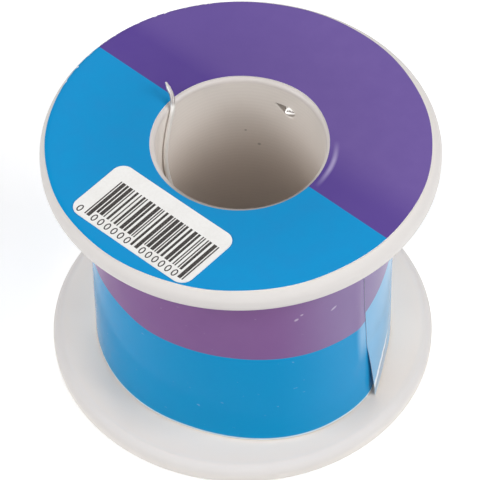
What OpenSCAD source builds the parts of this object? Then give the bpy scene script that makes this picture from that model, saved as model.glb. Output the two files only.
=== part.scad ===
// Solder wire spool: a moulded spool, its winding of flux-cored solder and its printed labels.
// Millimetres. +Z is the spool's axis, the lower flange stands on z = 0, and -Y is the front.

/* [Spool] */
// Outer diameter of both flanges
spool_d = 50; // [44:1:60]
// Height over both flanges
spool_h = 38; // [30:1:50]
// Thickness of a flange near its rim
flange_t = 3.2; // [2:0.1:4]
// Extra thickness of a flange where it meets the barrel
flange_draft = 0.2; // [0.1:0.1:0.8]
// Rounding of the flange rims
rim_r = 1.3; // [0.4:0.1:1.6]
// Bore diameter at the spindle land
bore_d = 20.8; // [18:0.2:24]
// Length of the straight spindle land at the lower end of the bore
land_h = 4; // [2.5:0.5:10]
// Growth of the bore's radius from the land to its upper end
bore_draft = 0.2; // [0.05:0.05:0.5]
// Rounding of the bore's two mouths
lip_r = 0.7; // [0.2:0.1:0.9]
// Wall of the barrel
barrel_wall = 1.8; // [1.2:0.1:2.6]
// Cone at the foot of each flange, inside the groove
root_cone = 0.8; // [0.3:0.1:1.5]

/* [Anchor slots] */
// Room around the wire in a slot
slot_clear = 0.3; // [0.2:0.05:0.6]
// Length of the upper slot, which holds the cut end of the wire
stub_slot_l = 2.8; // [2.2:0.1:4]
// Place of the upper slot around the barrel, degrees from +X
stub_slot_angle = 58; // [0:1:359]
// Middle of the upper slot, below the inner face of the top flange
stub_slot_below = 0.8; // [0.8:0.1:6]
// Slope of the upper slot, degrees from level
stub_slot_tilt = 5; // [0:5:45]
// Length of the lower, upright slot, which lets the long tail in
tail_slot_l = 4.4; // [4:0.2:6]
// Place of the lower slot around the barrel, degrees from +X
tail_slot_angle = 142; // [0:1:359]
// Middle of the lower slot, below the top face, as a share of the spool's height
tail_slot_share = 0.55; // [0.53:0.01:0.6]

/* [Solder wire] */
// Diameter of the wire
wire_d = 0.6; // [0.5:0.05:0.8]
// Diameter of the flux inside the wire
flux_d = 0.22; // [0.15:0.01:0.35]
// Depth to which the flux shows in a cut end
flux_depth = 0.8; // [0.4:0.1:1]
// Turns in the outer layer of the winding
turns = 24; // [8:1:24]
// Gap left between the solder and what it lies against
solder_clear = 0.1; // [0.05:0.05:0.2]
// How far the cut end stands out of the bore's wall
stub_reach = 0.3; // [0.2:0.1:1.5]

/* [Labels] */
// Margin from the flange's edge to the round label's edge
label_margin = 1.1; // [0.8:0.05:3]
// Sideways shift of the round label, which was stuck on a little off centre
label_shift_x = -0.2; // [-0.7:0.1:0.7]
// Shift of the round label towards the front
label_shift_y = 0; // [-0.7:0.1:0.7]
// White ring left between the bore's wall and the round label
label_inset = 0.6; // [0.3:0.1:2]
// Thickness of the round label
label_t = 0.15; // [0.1:0.05:0.3]
// Length of the barcode sticker
sticker_l = 19; // [14:0.2:20]
// Width of the barcode sticker
sticker_w = 9.8; // [6:0.1:10]
// Corner radius of the barcode sticker
sticker_corner = 1.6; // [0.5:0.1:2]
// Thickness of the barcode sticker
sticker_t = 0.1; // [0.08:0.01:0.2]
// Distance from the flange's edge in to the sticker's middle
sticker_inset = 7.8; // [7:0.1:8.5]
// Bearing of the sticker's middle, degrees from +X
sticker_bearing = 231; // [180:1:260]
// Turn of the sticker out of square with its bearing, degrees
sticker_twist = -3; // [-10:1:10]
// Diameter over the film label that is wrapped round the winding
wrap_d = 38.6; // [34:0.2:41]
// Thickness of the film label
wrap_t = 0.15; // [0.1:0.05:0.3]
// Gap between the film label's edges and the flanges
wrap_edge_gap = 0.1; // [0.05:0.05:1]
// Free edge of the film label's overlap, degrees from +X
wrap_seam = 321; // [0:1:359]
// Angle that the film label overlaps itself by
wrap_lap = 60; // [20:5:120]

/* [Hidden] */
$fn = 96;

// Spool, worked out from the sizes above
flange_r = spool_d/2;
bore_r = bore_d/2;
bore_top_r = bore_r + bore_draft;
barrel_r = bore_r + barrel_wall;
rim_band = 0.1;
rim = min(rim_r, (flange_t - rim_band)/2);
flat_r = flange_r - rim;
slot_w = wire_d + slot_clear;
stub_slot_drop = flange_t + flange_draft + stub_slot_below;
tail_slot_drop = tail_slot_share*spool_h;
past = 1;

// Thickness of a flange at radius r: it grows evenly from the rim to the barrel
function flange_at(r) = flange_t + flange_draft*(flat_r - r)/(flat_r - barrel_r);
// Radius of the bore's wall at height z
function bore_at(z) =
    bore_r + bore_draft*min(1, max(0, (z - land_h)/(spool_h - lip_r - land_h)));

// Winding, worked inwards from the film label
wrap_r = wrap_d/2;
wind_r = wrap_r - wrap_t - solder_clear - wire_d/2;
loop_rings = 24;
tube_sides = 6;
inner_r = wind_r*cos(180/loop_rings) - wire_d/2 - solder_clear;
groove_z = flange_at(barrel_r) + solder_clear;
first_z = groove_z + wire_d/2;
pitch = (spool_h - 2*first_z)/turns;

// Label places
label_d = spool_d - 2*label_margin;
label_hole_r = bore_top_r + label_inset;
wrap_z = flange_at(wrap_r) + wrap_edge_gap;

// The tail up the bore's wall: [degrees, depth below the top as a share of the spool's height,
// distance out from lying on the wall in wire diameters]
tail_on_wall = [
    [146, 0.45, 0], [150, 0.38, 0], [154, 0.32, 0], [158.5, 0.26, 0], [161, 0.2, 0],
    [159.5, 0.14, 0], [156.5, 0.1, 0], [153.5, 0.07, 0], [150.5, 0.04, 0], [147.5, 0.01, 0],
    [144.5, -0.015, 0.5], [141.5, -0.03, 1.4], [139.5, -0.04, 2.6], [137.5, -0.045, 3.85]
];
// The tail through the lower slot: [depth below the slot's middle as a share of the slot's length,
// share of the way through the wall]
tail_in_slot = [[0.27, 1], [0.27, 0.66], [0.2, 0.4], [0.02, 0.18], [-0.23, 0.06]];
tail_sides = 8;

function lying_r(z) = bore_at(z) - wire_d/2 - solder_clear;
function polar(r, a, z) = [r*cos(a), r*sin(a), z];
function slot_point(p) =
    let (z = spool_h - tail_slot_drop - p[0]*tail_slot_l)
    polar(lying_r(z) + p[1]*(barrel_r - lying_r(z)), tail_slot_angle, z);
function wall_point(p) =
    let (z = spool_h*(1 - p[1]))
    polar(lying_r(z) + p[2]*wire_d, p[0], z);
tail_path = concat([for (p = tail_in_slot) slot_point(p)], [for (p = tail_on_wall) wall_point(p)]);
tail_tip = tail_path[len(tail_path) - 1];
tail_way = tail_tip - tail_path[len(tail_path) - 2];

// The outer layer: an even helix, with an end that runs straight for one wire diameter each way
function unit(v) = v/norm(v);
function helix_point(i) = polar(wind_r, 360*i/loop_rings, first_z + pitch*i/loop_rings);
helix_steps = turns*loop_rings;
helix = [for (i = [0 : helix_steps]) helix_point(i)];
helix_start = helix[0] + wire_d*unit(helix[0] - helix[1]);
helix_end = helix[helix_steps] + wire_d*unit(helix[helix_steps] - helix[helix_steps - 1]);
helix_path = concat([helix_start], helix, [helix_end]);

// Least distance between the middles of neighbouring turns, less one wire diameter
helix_gap = min([
    for (i = [0 : helix_steps - loop_rings])
        for (j = [i + loop_rings/2 : min(i + 2*loop_rings, helix_steps)])
            norm(helix[i] - helix[j])
]) - wire_d;
echo("least gap of the outer layer to itself, mm", helix_gap);

// Tube of the given radius and sides along a path, with its rings square to the path.
// A ring's first side faces the bearing of its middle from the axis, turned by lean degrees.
function way_at(path, i) =
    unit(path[min(i + 1, len(path) - 1)] - path[max(i - 1, 0)]);
function facing_at(path, i, lean) =
    let (t = way_at(path, i), a = atan2(path[i][1], path[i][0]) + lean, f = [cos(a), sin(a), 0])
    unit(f - (f*t)*t);

module tube(path, r, sides, lean) {
    last = len(path) - 1;
    points = [
        for (i = [0 : last])
            let (n = facing_at(path, i, lean), b = cross(way_at(path, i), n))
            for (k = [0 : sides - 1])
                let (a = 360*(k + 0.5)/sides)
                path[i] + r*(cos(a)*n + sin(a)*b)
    ];
    skin = [
        for (i = [0 : last - 1])
            for (k = [0 : sides - 1])
                let (m = (k + 1) % sides, p = i*sides, q = p + sides)
                for (f = [[p + k, q + k, q + m], [p + k, q + m, p + m]]) f
    ];
    ends = [
        for (k = [1 : sides - 2])
            for (f = [[0, k, k + 1], [last*sides, last*sides + k + 1, last*sides + k]]) f
    ];
    polyhedron(points, concat(skin, ends), convexity = 10);
}

// Half section of one flange, standing on z = 0
module flange_section() {
    polygon([
        [0, 0], [flat_r, 0], [flat_r, flange_t],
        [barrel_r, flange_at(barrel_r)], [0, flange_at(barrel_r)]
    ]);
    translate([flat_r, rim]) circle(r = rim);
    translate([flat_r, flange_t - rim]) circle(r = rim);
    translate([flat_r, rim]) square([rim, flange_t - 2*rim]);
    polygon([
        [0, flange_at(barrel_r)], [barrel_r + root_cone, flange_at(barrel_r + root_cone)],
        [barrel_r, flange_at(barrel_r) + root_cone], [0, flange_at(barrel_r) + root_cone]
    ]);
}

// Section of the empty bore: straight land, slow draft, and a rounded mouth at each end
module bore_section() {
    polygon([
        [-past, -past], [bore_r, -past], [bore_r, land_h],
        [bore_top_r, spool_h - lip_r], [bore_top_r, spool_h + past], [-past, spool_h + past]
    ]);
    difference() {
        translate([bore_r - past, -past]) square([past + lip_r, past + lip_r]);
        translate([bore_r + lip_r, lip_r]) circle(r = lip_r);
    }
    difference() {
        translate([bore_top_r - past, spool_h - lip_r]) square([past + lip_r, past + lip_r]);
        translate([bore_top_r + lip_r, spool_h - lip_r]) circle(r = lip_r);
    }
}

// Slot through the barrel's wall: X points out of the axis, the slot is long in Y
module slot_cut(length) {
    ends = length/2 - slot_w/2;
    translate([bore_r - past, 0, 0]) rotate([90, 0, 90]) linear_extrude(barrel_wall + 2*past) {
        square([2*ends, slot_w], center = true);
        for (s = [-1, 1]) translate([s*ends, 0]) circle(d = slot_w);
    }
}

// Frames of the two slots
module at_stub_slot() {
    rotate([0, 0, stub_slot_angle]) translate([0, 0, spool_h - stub_slot_drop])
        rotate([stub_slot_tilt, 0, 0]) children();
}
module at_tail_slot() {
    rotate([0, 0, tail_slot_angle]) translate([0, 0, spool_h - tail_slot_drop])
        rotate([90, 0, 0]) children();
}

// Line of the cut end: it crosses the wall at a slant inside its slot, towards -Y
stub_run = stub_slot_l - slot_w - slot_clear;
stub_slant = atan(stub_run/barrel_wall);
stub_in_r = bore_at(spool_h - stub_slot_drop);
module at_stub_end() {
    at_stub_slot()
        translate([stub_in_r - stub_reach, -stub_run/2 - stub_reach*tan(stub_slant), 0])
            rotate([0, 90, stub_slant]) children();
}

// Frame at the tail's tip, with Z along the wire and out of its end
module at_tail_tip() {
    translate(tail_tip)
        rotate([0, acos(tail_way[2]/norm(tail_way)), atan2(tail_way[1], tail_way[0])]) children();
}

// One-piece moulded spool: two flanges on a hollow barrel, with two slots for the wire
module spool_body() {
    color("whitesmoke") difference() {
        rotate_extrude() difference() {
            union() {
                flange_section();
                translate([0, spool_h]) mirror([0, 1]) flange_section();
                square([barrel_r, spool_h]);
            }
            bore_section();
        }
        at_stub_slot() slot_cut(stub_slot_l);
        at_tail_slot() slot_cut(tail_slot_l);
    }
}

// Inner layers of the winding, as the plain ring that they fill
module solder_inner_layers() {
    ring_in = barrel_r + solder_clear;
    cone = root_cone + solder_clear;
    color("silver") rotate_extrude() polygon([
        [ring_in, groove_z + cone], [ring_in + cone, groove_z],
        [inner_r, groove_z], [inner_r, spool_h - groove_z],
        [ring_in + cone, spool_h - groove_z], [ring_in, spool_h - groove_z - cone]
    ]);
}

// Outer layer of the winding, one unbroken wire
module solder_outer_layer() {
    color("silver") tube(helix_path, wire_d/2, tube_sides, 0);
}

// Start of the wire: it comes through the upper slot and is cut off just inside the bore
module solder_cut_end() {
    color("gainsboro") intersection() {
        at_stub_end() difference() {
            cylinder(d = wire_d, h = 3*barrel_wall + stub_reach);
            translate([0, 0, -past]) cylinder(d = flux_d, h = past + flux_depth);
        }
        cylinder(r = barrel_r, h = spool_h);
    }
}

// Long tail of the wire: in through the lower slot, up the bore's wall and over the rim
module solder_tail() {
    color("gainsboro") difference() {
        tube(tail_path, wire_d/2, tail_sides, 90);
        at_tail_tip() translate([0, 0, -flux_depth]) cylinder(d = flux_d, h = flux_depth + past);
    }
}

// Flux that fills the middle of the wire, where its two cut ends show it
module flux_core() {
    color("saddlebrown") {
        at_stub_end() cylinder(d = flux_d, h = flux_depth);
        at_tail_tip() translate([0, 0, -flux_depth]) cylinder(d = flux_d, h = flux_depth);
    }
}

// Round paper label on the top face, bent down where it laps the rounded rim
module ring_label() {
    color("dodgerblue") difference() {
        intersection() {
            rotate_extrude() {
                translate([0, spool_h]) square([flat_r, label_t]);
                intersection() {
                    translate([flat_r, spool_h - rim]) difference() {
                        circle(r = rim + label_t);
                        circle(r = rim);
                    }
                    translate([flat_r, spool_h - rim]) square(2*rim + label_t);
                }
            }
            translate([label_shift_x, label_shift_y, spool_h - rim])
                cylinder(d = label_d, h = 2*rim + label_t);
        }
        translate([0, 0, spool_h - past]) cylinder(r = label_hole_r, h = 2*past + label_t);
    }
}

// White sticker with rounded corners, stuck across the round label
module barcode_sticker() {
    corner_x = sticker_l/2 - sticker_corner;
    corner_y = sticker_w/2 - sticker_corner;
    sticker_r = flange_r - sticker_inset;
    color("white") translate(polar(sticker_r, sticker_bearing, spool_h + label_t))
        rotate([0, 0, sticker_bearing + 90 + sticker_twist]) linear_extrude(sticker_t) {
            square([sticker_l, 2*corner_y], center = true);
            square([2*corner_x, sticker_w], center = true);
            for (sx = [-1, 1]) for (sy = [-1, 1])
                translate([sx*corner_x, sy*corner_y]) circle(r = sticker_corner);
        }
}

// Printed film wrapped round the winding, with its end lapped over its start
module wrap_label() {
    lap_steps = 6;
    lap_wedge = [
        for (i = [0 : lap_steps])
            let (a = wrap_seam + wrap_lap*i/lap_steps)
            wrap_d*[cos(a), sin(a)]
    ];
    color("steelblue") translate([0, 0, wrap_z]) linear_extrude(spool_h - 2*wrap_z) difference() {
        union() {
            circle(r = wrap_r);
            intersection() {
                circle(r = wrap_r + wrap_t);
                polygon(concat([[0, 0]], lap_wedge));
            }
        }
        circle(r = wrap_r - wrap_t);
    }
}

spool_body();
solder_inner_layers();
solder_outer_layer();
solder_cut_end();
solder_tail();
flux_core();
ring_label();
barcode_sticker();
wrap_label();
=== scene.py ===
import bpy
import numpy as np
from mathutils import Matrix


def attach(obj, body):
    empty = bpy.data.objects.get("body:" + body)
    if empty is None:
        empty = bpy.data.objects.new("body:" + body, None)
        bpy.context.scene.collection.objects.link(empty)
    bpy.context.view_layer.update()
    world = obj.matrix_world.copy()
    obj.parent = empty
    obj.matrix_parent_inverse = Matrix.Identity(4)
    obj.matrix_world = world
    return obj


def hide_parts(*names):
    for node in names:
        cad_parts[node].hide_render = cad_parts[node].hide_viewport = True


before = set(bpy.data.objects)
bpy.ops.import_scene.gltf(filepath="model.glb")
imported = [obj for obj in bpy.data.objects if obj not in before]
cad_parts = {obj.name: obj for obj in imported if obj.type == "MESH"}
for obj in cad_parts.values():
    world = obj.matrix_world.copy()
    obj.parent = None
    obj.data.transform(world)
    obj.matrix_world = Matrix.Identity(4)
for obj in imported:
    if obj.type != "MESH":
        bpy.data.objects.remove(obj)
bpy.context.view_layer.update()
mm = 0.001
print("frame:", len(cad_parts), "nodes")

# settings that many shader nodes share
eased = {"interpolation_type": "SMOOTHSTEP"}
colours = {"data_type": "RGBA"}
times = {"operation": "MULTIPLY"}


def linear(hexColour):
    # sRGB to linear: a channel up to 0.04045 is divided by 12.92, above that it follows the 2.4 power curve
    c = np.array([int(hexColour[k:k + 2], 16) for k in (1, 3, 5)]) / 255
    return (*np.where(c <= 0.04045, c / 12.92, ((c + 0.055) / 1.055) ** 2.4).tolist(), 1.0)


def addNode(tree, kind, inputs=None, **settings):
    # one node with its settings; an input is given a value, or linked where it is given a socket
    node = tree.nodes.new("ShaderNode" + kind)
    for key, value in settings.items():
        setattr(node, key, value)
    for key, value in (inputs or {}).items():
        if isinstance(value, bpy.types.NodeSocket):
            tree.links.new(value, node.inputs[key])
        else:
            node.inputs[key].default_value = value
    return node.outputs


def newMaterial(name, **sockets):
    # a Principled material with its plain values on the shader's own sockets
    material = bpy.data.materials.new(name)
    material.use_nodes = True
    shader = material.node_tree.nodes["Principled BSDF"]
    for key, value in sockets.items():
        shader.inputs[key.replace("_", " ")].default_value = value
    return material, material.node_tree, shader.inputs


def apart(tree, value, middle):
    # how far a value lies from a middle, |value - middle|, by a Subtract and an Absolute node
    step = addNode(tree, "Math", {0: value, 1: middle}, operation="SUBTRACT")[0]
    return addNode(tree, "Math", {0: step}, operation="ABSOLUTE")[0]


def smoothStep(x, low, high):
    # 0 below low, 1 above high, and 3t^2 - 2t^3 between them
    t = np.clip((x - low) / (high - low), 0, 1)
    return t * t * (3 - 2 * t)


def unit(vector):
    # the vector divided by its own length
    return vector / np.linalg.norm(vector)


def standAt(thing, right, up, back, spot):
    # its matrix has as columns the ways that its own right, up and back point, and its place in metres, and
    # it is put into the scene
    thing.matrix_world = Matrix(np.stack([right, up, back, spot], 1).tolist() + [[0, 0, 0, 1]])
    bpy.context.scene.collection.objects.link(thing)


def sweep(name, rings, closed=False, uv=None, slots=None, sharp=35):
    # A loop carried along a path. rings is (steps, loop points, 3) in mm: each cell between neighbouring
    # rings is a quad, and the end loops of an open path are closed by strips that join point k to point
    # m-1-k. uv is (steps + 1, loop points + 1, 2), and slots gives the material of each column of quads.
    n, m = rings.shape[:2]
    cells = np.meshgrid(np.arange(n if closed else n - 1), np.arange(m), indexing="ij")
    i, j = (g.ravel() for g in cells)
    rows, cols = np.stack([i, i, i + 1, i + 1], -1), np.stack([j, j + 1, j + 1, j], -1)
    slotOf = np.zeros(len(rows), int) if slots is None else np.asarray(slots)[j]
    if not closed:
        k = np.arange(m // 2 - 1)
        strip = np.stack([k, k + 1, m - 2 - k, m - 1 - k], -1)
        rows = np.concatenate([rows, np.zeros_like(strip), np.full_like(strip, n - 1)])
        cols = np.concatenate([cols, strip[:, ::-1], strip])
        slotOf = np.concatenate([slotOf, np.full(2 * len(strip), slotOf.max())])
    quads = (rows % n) * m + cols % m
    points = rings.reshape(-1, 3)
    a, b, c, d = (points[quads[:, q]] for q in range(4))
    if (a * (np.cross(b, c) + np.cross(c, d))).sum() < 0:  # the faces look inwards, so each is turned round
        quads, rows, cols = quads[:, ::-1], rows[:, ::-1], cols[:, ::-1]
    mesh = bpy.data.meshes.new(name)
    mesh.vertices.add(len(points))
    mesh.vertices.foreach_set("co", (points * mm).astype(np.float32).ravel())
    mesh.loops.add(quads.size)
    mesh.loops.foreach_set("vertex_index", quads.astype(np.int32).ravel())
    mesh.polygons.add(len(quads))
    mesh.polygons.foreach_set("loop_start", np.arange(0, quads.size, 4, dtype=np.int32))
    mesh.polygons.foreach_set("material_index", slotOf.astype(np.int32))
    mesh.polygons.foreach_set("use_smooth", np.ones(len(quads), bool))
    if uv is not None:
        mesh.uv_layers.new(name="lay").data.foreach_set("uv", uv[rows, cols].astype(np.float32).ravel())
    mesh.update(calc_edges=True)
    mesh.set_sharp_from_angle(angle=np.radians(sharp))
    piece = bpy.data.objects.new(name, mesh)
    bpy.context.scene.collection.objects.link(piece)
    return piece


def revolve(section, steps):
    # a half section of (radius, height) turned about the axis: at each bearing b, r cos b, r sin b and z
    b = 2 * np.pi * np.arange(steps) / steps
    r, z = section.T
    height = np.broadcast_to(z, (steps, len(section)))
    return np.stack([np.outer(np.cos(b), r), np.outer(np.sin(b), r), height], -1)


def tube(path, across, along, sides):
    # Rings square to a path: each is an ellipse in the plane of two vectors that are square to the path's
    # way, the first facing out of the spool's axis. across and along are its half sizes at each step.
    way = np.gradient(path, axis=0)
    way /= np.linalg.norm(way, axis=1, keepdims=True)
    face = path * [1, 1, 0]
    face -= (face * way).sum(1, keepdims=True) * way
    face /= np.linalg.norm(face, axis=1, keepdims=True)
    side = np.cross(way, face)
    a = 2 * np.pi * (np.arange(sides) + 0.5) / sides
    return (path[:, None] + np.cos(a)[None, :, None] * (across[:, None] * face)[:, None]
            + np.sin(a)[None, :, None] * (along[:, None] * side)[:, None])


def smoothPath(points, perSpan):
    # Catmull-Rom: each span is the cubic whose slope at a point is half the step between its two neighbours
    p = np.concatenate([[2 * points[0] - points[1]], points, [2 * points[-1] - points[-2]]])
    t = np.linspace(0, 1, perSpan, endpoint=False)[None, :, None]
    p0, p1, p2, p3 = (p[k:len(p) - 3 + k, None] for k in range(4))
    span = 0.5 * (2 * p1 + (p2 - p0) * t + (2 * p0 - 5 * p1 + 4 * p2 - p3) * t ** 2
                  + (3 * p1 - p0 - 3 * p2 + p3) * t ** 3)
    return np.concatenate([span.reshape(-1, 3), points[-1:]])


def dress(piece, slot, materials, *nodes):
    # gives a piece its materials, its body and the CAD nodes it stands for; slot is not used
    for material in materials:
        piece.data.materials.append(material)
    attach(piece, "root")
    if nodes:
        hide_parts(*nodes)
    return piece


# Camera where the photograph was taken from; angles in degrees, lengths in mm
shot = {
    "elevation": 49.84, "distance": 425.4, "roll": -0.68, "lens": 248.66, "sensor": 36, "clip": 10,
    "centre": (0, 0, 19), "aim": (-0.22, 0, 19.12),
}
tilt, roll = np.radians(shot["elevation"]), np.radians(shot["roll"])
eye = np.array(shot["centre"]) + shot["distance"] * np.array([0, -np.cos(tilt), np.sin(tilt)])
look = unit(np.array(shot["aim"]) - eye)
right = unit(np.cross(look, [0, 0, 1]))
up = np.cross(right, look)
right, up = right * np.cos(roll) + up * np.sin(roll), up * np.cos(roll) - right * np.sin(roll)
camera = bpy.data.objects.new("camera", bpy.data.cameras.new("camera"))
camera.data.lens, camera.data.sensor_width = shot["lens"], shot["sensor"]
camera.data.sensor_fit = "HORIZONTAL"
camera.data.clip_start = shot["clip"] * mm
standAt(camera, right, up, -look, eye * mm)
bpy.context.scene.camera = camera
print("camera set")

# The moulded spool, mm; the last two rows are the points of each part of its section, the steps round it
# and the angle in degrees past which an edge is sharp
spool = {
    "radius": 25.0, "height": 38.0, "flange": 3.2, "draft": 0.2, "rim": 1.3, "barrel": 12.2, "rootCone": 0.8,
    "bore": 10.4, "boreTop": 10.6, "land": 4.0, "lip": 0.7,
    "arcPoints": 13, "flangePoints": 13, "barrelPoints": 9, "borePoints": 21,
    "steps": 256, "sharp": 35,
}


def boreAt(z):
    # the bore's radius: straight up the land, then growing evenly to the upper mouth
    top = spool["height"] - spool["lip"]
    share = np.clip((z - spool["land"]) / (top - spool["land"]), 0, 1)
    return spool["bore"] + (spool["boreTop"] - spool["bore"]) * share


def spoolSection():
    # half section as one closed loop: arcs at the mouths and rims, straight runs between them whose points
    # crowd towards their ends by (1 - cos) / 2
    s, h = spool, spool["height"]
    flat = s["radius"] - s["rim"]
    root = s["flange"] + s["draft"]
    foot, neck = (s["barrel"] + s["rootCone"], root), (s["barrel"], root + s["rootCone"])

    def arc(r, z, size, start, end):
        # middle + size times cos and sin of an angle that goes evenly from start to end
        a = np.radians(np.linspace(start, end, s["arcPoints"]))
        return np.stack([r + size * np.cos(a), z + size * np.sin(a)], -1)

    def run(p, q, count):
        # p + t (q - p), without the two ends
        t = (0.5 - 0.5 * np.cos(np.linspace(0, np.pi, count)))[1:-1, None]
        return np.array(p) + t * (np.array(q) - np.array(p))

    def flange(mouth):
        # mouth, underside, both halves of the rim, the drafted inner face and the cone at the barrel's root
        return np.concatenate([
            arc(mouth + s["lip"], s["lip"], s["lip"], 180, 270),
            run((mouth + s["lip"], 0), (flat, 0), s["flangePoints"]),
            arc(flat, s["rim"], s["rim"], -90, 0), arc(flat, s["flange"] - s["rim"], s["rim"], 0, 90),
            run((flat, s["flange"]), foot, s["flangePoints"]), [foot, neck],
        ])

    low, high = flange(s["bore"]), flange(s["boreTop"])[::-1] * [1, -1] + [0, h]
    return np.concatenate([
        low, run(neck, (s["barrel"], h - root - s["rootCone"]), s["barrelPoints"]), high,
        run((s["boreTop"], h - s["lip"]), (s["bore"], s["land"]), s["borePoints"]), [(s["bore"], s["land"])],
    ])


# Anchor slots through the barrel: degrees round the axis, height and slope in degrees. ends are the round
# ends of a slot as (along it, across it, radius), mm.
slots = [
    {"at": 58.0, "height": 33.8, "slope": 5.0, "ends": [(-0.64, 0.1, 0.85), (1.25, 0.5, 0.1)]},
    {"at": 142.0, "height": 17.1, "slope": 90.0, "ends": [(-1.75, 0, 0.45), (1.75, 0, 0.45)]},
]
# how they are cut: points round the outline, its steps out from the bore's wall and how far each is widened
slotCut = {"points": 48, "out": (-0.6, -0.05, 0.1, 1.0, 2.6), "wider": (0.12, 0.12, 0.0, 0.0, 0.0)}


def slotFrame(slot, local):
    # points of a slot's own frame (out of the axis, along the slot, across it) turned by its slope about the
    # outward line, lifted to its height and turned round the axis
    a, b = np.radians(slot["slope"]), np.radians(slot["at"])
    x, y, z = np.moveaxis(np.asarray(local, float), -1, 0)
    y, z = y * np.cos(a) - z * np.sin(a), y * np.sin(a) + z * np.cos(a) + slot["height"]
    return np.stack([x * np.cos(b) - y * np.sin(b), x * np.sin(b) + y * np.cos(b), z], -1)


def slotCutter(slot):
    # the outline round both end circles, carried out through the wall and wider by a small chamfer where it
    # meets the bore: in each direction the point of the circle that reaches farther
    a = 2 * np.pi * (np.arange(slotCut["points"]) + 0.5) / slotCut["points"]
    way = np.stack([np.cos(a), np.sin(a)], -1)
    ends = np.array(slot["ends"], float)
    pick = np.argmax(ends[:, :2] @ way.T + ends[:, 2:], 0)
    outline = ends[pick, :2] + (ends[pick, 2:] + np.array(slotCut["wider"])[:, None, None]) * way
    out = np.array(slotCut["out"]) + boreAt(slot["height"])
    out = np.broadcast_to(out[:, None, None], outline.shape[:2] + (1,))
    return sweep("slotCutter", slotFrame(slot, np.concatenate([out, outline], -1)))


body = sweep("spoolBody", revolve(spoolSection(), spool["steps"]), closed=True)
cutters = [slotCutter(slot) for slot in slots]
for cutter in cutters:
    cut = body.modifiers.new("slot", "BOOLEAN")
    cut.operation, cut.solver, cut.object = "DIFFERENCE", "EXACT", cutter
cutMesh = bpy.data.meshes.new_from_object(body.evaluated_get(bpy.context.evaluated_depsgraph_get()))
body.modifiers.clear()
body.data = cutMesh
for cutter in cutters:
    bpy.data.objects.remove(cutter)
cutMesh.set_sharp_from_angle(angle=np.radians(spool["sharp"]))

# Solder wire, mm. The bands of a Wave texture lie 2 pi / 20 apart at scale 1, so this scale puts them one
# wire apart.
wire = {"radius": 0.3, "flux": 0.11, "clear": 0.1}
wireBands = 2 * np.pi / (20 * 2 * wire["radius"] * mm)

# Polystyrene, injection moulded: milky white, softly glossy, a little uneven from the mould, with painted
# shade and light in places
polystyrene, tree, socket = newMaterial("polystyreneMoulded", IOR=1.59, Specular_IOR_Level=0.35)
place = addNode(tree, "TexCoord")["Object"]
axes = addNode(tree, "SeparateXYZ", {0: place})
flatPlace = addNode(tree, "CombineXYZ", {"X": axes["X"], "Y": axes["Y"]})[0]
radius = addNode(tree, "VectorMath", {0: flatPlace}, operation="LENGTH")["Value"]
# 9 mm flow marks and 0.45 mm mould texture
cloud = addNode(tree, "TexNoise", {"Vector": place, "Scale": 1 / (9 * mm), "Detail": 3.0})[0]
grain = addNode(tree, "TexNoise", {"Vector": place, "Scale": 1 / (0.45 * mm), "Detail": 2.0})[0]
white = addNode(tree, "Mix", {0: cloud, 6: linear("#f6f0ea"), 7: linear("#ebe5df")}, **colours)[2]
# the turns of wire show faintly through the barrel as bands
bands = {"Vector": place, "Scale": wireBands, "Distortion": 1.2, "Detail Scale": 0.3}
bands = addNode(tree, "TexWave", bands, bands_direction="Z")[1]
inBore = addNode(tree, "MapRange", {0: radius, 1: 11.0 * mm, 2: 10.7 * mm}, **eased)[0]
bandShare = addNode(tree, "Math", {0: bands, 1: inBore}, **times)[0]
bandShade = addNode(tree, "MapRange", {0: bandShare, 3: 0.0, 4: 0.03})[0]
# painted shade: the bore's wall is darker between the flanges, most in the middle of the bore
below = addNode(tree, "MapRange", {0: axes["Z"], 1: 38.5 * mm, 2: 20 * mm}, **eased)[0]
over = addNode(tree, "MapRange", {0: axes["Z"], 1: 2 * mm, 2: 14 * mm}, **eased)[0]
between = addNode(tree, "Math", {0: below, 1: over}, **times)[0]
paintedBoreShade = addNode(tree, "Math", {0: between, 1: inBore}, **times)[0]
wall = addNode(tree, "Mix", {0: paintedBoreShade, 6: white, 7: linear("#d1c5bb")}, **colours)[2]
# painted shade: the rims are a shade greyer, apart from the lower one's side, which is left lighter as
# painted light; the rims are also rubbed matt
atRim = addNode(tree, "MapRange", {0: radius, 1: 23.4 * mm, 2: 24.6 * mm, 3: 0.0, 4: 0.55}, **eased)[0]
offSide = addNode(tree, "MapRange", {0: axes["Z"], 1: 1.6 * mm, 2: 2.6 * mm}, **eased)[0]
rimPaintedShade = addNode(tree, "Math", {0: atRim, 1: offSide}, **times)[0]
matt = addNode(tree, "MapRange", {0: radius, 1: 23.5 * mm, 2: 24.2 * mm, 3: 0.0, 4: 0.65}, **eased)[0]
wall = addNode(tree, "Mix", {0: rimPaintedShade, 6: wall, 7: linear("#dcd9d9")}, **colours)[2]
# painted: the flanges' faces inside the groove are a shade warmer, offsetting the blue light that the film
# casts on them
paintedGrooveWarmth = addNode(tree, "MapRange", {0: radius, 1: 11.5 * mm, 2: 12.0 * mm, 3: 0.0, 4: 0.65})[0]
shaded = addNode(tree, "MapRange", {0: radius, 1: 24.6 * mm, 2: 23.2 * mm}, **eased)[0]
offBottom = addNode(tree, "MapRange", {0: axes["Z"], 1: 2.4 * mm, 2: 3.1 * mm})[0]
offTop = addNode(tree, "MapRange", {0: axes["Z"], 1: 35.6 * mm, 2: 34.9 * mm})[0]
for share in (shaded, offBottom, offTop):
    paintedGrooveWarmth = addNode(tree, "Math", {0: paintedGrooveWarmth, 1: share}, **times)[0]
wall = addNode(tree, "Mix", {0: paintedGrooveWarmth, 6: wall, 7: linear("#fcecde")}, **colours)[2]
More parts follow.
